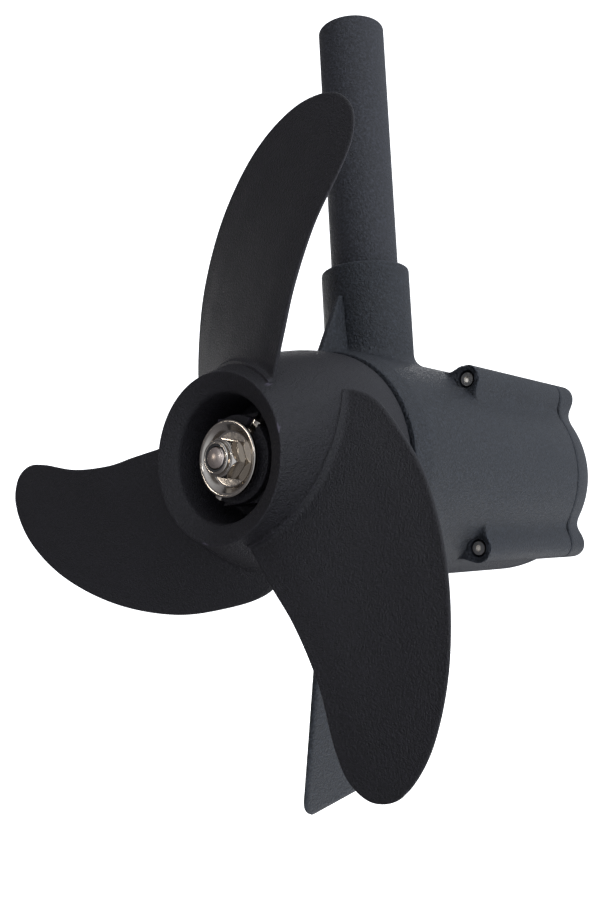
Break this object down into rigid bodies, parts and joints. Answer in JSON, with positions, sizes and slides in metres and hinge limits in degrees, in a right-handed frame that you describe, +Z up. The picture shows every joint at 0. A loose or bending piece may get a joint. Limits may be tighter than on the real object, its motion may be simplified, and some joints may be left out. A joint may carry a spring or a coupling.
{
  "type": "trolling motor lower unit",
  "caption": "Lower unit of an electric trolling motor: motor pod with nose cap and skeg on a mast tube, and a swept-blade propeller that turns on the motor shaft.",
  "frame": {"origin": "centre of the mast's upper end", "axes": "+Z up along the mast, +X forward to the nose, +Y to port; the propeller axis is parallel to X, 190 mm below the origin"},
  "size_m": [0.2363, 0.2054, 0.3156],
  "materials": {
    "housing_paint": "satin, fine grain",
    "propeller_plastic": "matte moulded",
    "mast_composite": "satin, fine texture",
    "stainless_polished": "polished stainless",
    "stainless_screw": "bright",
    "stainless_shaft": "ground",
    "insert_nylon": "satin",
    "seal_rubber": "matte",
    "bearing_steel": "ground",
    "spring_steel": "satin",
    "lamination_steel": "laminated",
    "winding_copper": "varnished",
    "commutator_copper": "turned",
    "flux_steel": "zinc plated",
    "magnet_ferrite": "matte ceramic",
    "plate_laminate": "laminate",
    "holder_brass": "satin",
    "brush_carbon": "matte",
    "terminal_tin": "tinned",
    "lead_red": "satin",
    "lead_black": "satin",
    "connector_blue": "satin"
  },
  "bodies": {
    "lower_unit": {"mast_tube": "mast_composite", "mast_seal_ring": "seal_rubber", "motor_housing": "housing_paint", "nose_cap": "housing_paint", "nose_seal_ring": "seal_rubber", "housing_screws": "stainless_screw", "rear_bearing_outer": "bearing_steel", "rear_bearing_balls": "bearing_steel", "front_bearing_outer": "bearing_steel", "front_bearing_balls": "bearing_steel", "bearing_preload_washer": "spring_steel", "shaft_seal": "seal_rubber", "flux_ring": "flux_steel", "magnet_port": "magnet_ferrite", "magnet_starboard": "magnet_ferrite", "brush_plate": "plate_laminate", "brush_holder_port": "holder_brass", "brush_holder_starboard": "holder_brass", "brush_port": "brush_carbon", "brush_starboard": "brush_carbon", "brush_spring_port": "spring_steel", "brush_spring_starboard": "spring_steel", "brush_rivets": "holder_brass", "terminal_positive": "terminal_tin", "terminal_negative": "terminal_tin", "lead_positive": "lead_red", "lead_negative": "lead_black", "lead_connectors": "connector_blue", "lead_grommet": "seal_rubber"},
    "rotor": {"motor_shaft": "stainless_shaft", "armature_core": "lamination_steel", "armature_windings": "winding_copper", "commutator": "commutator_copper", "rear_bearing_inner": "bearing_steel", "front_bearing_inner": "bearing_steel", "retaining_ring": "spring_steel", "propeller": "propeller_plastic", "drive_pin": "stainless_polished", "prop_washer": "stainless_polished", "prop_nut": "stainless_polished", "nut_insert": "insert_nylon"}
  },
  "joints": [
    {"name": "propeller_spin", "type": "hinge", "parent": "lower_unit", "child": "rotor", "pos_m": [0, 0, -0.19], "axis": [1, 0, 0], "continuous": true}
  ]
}
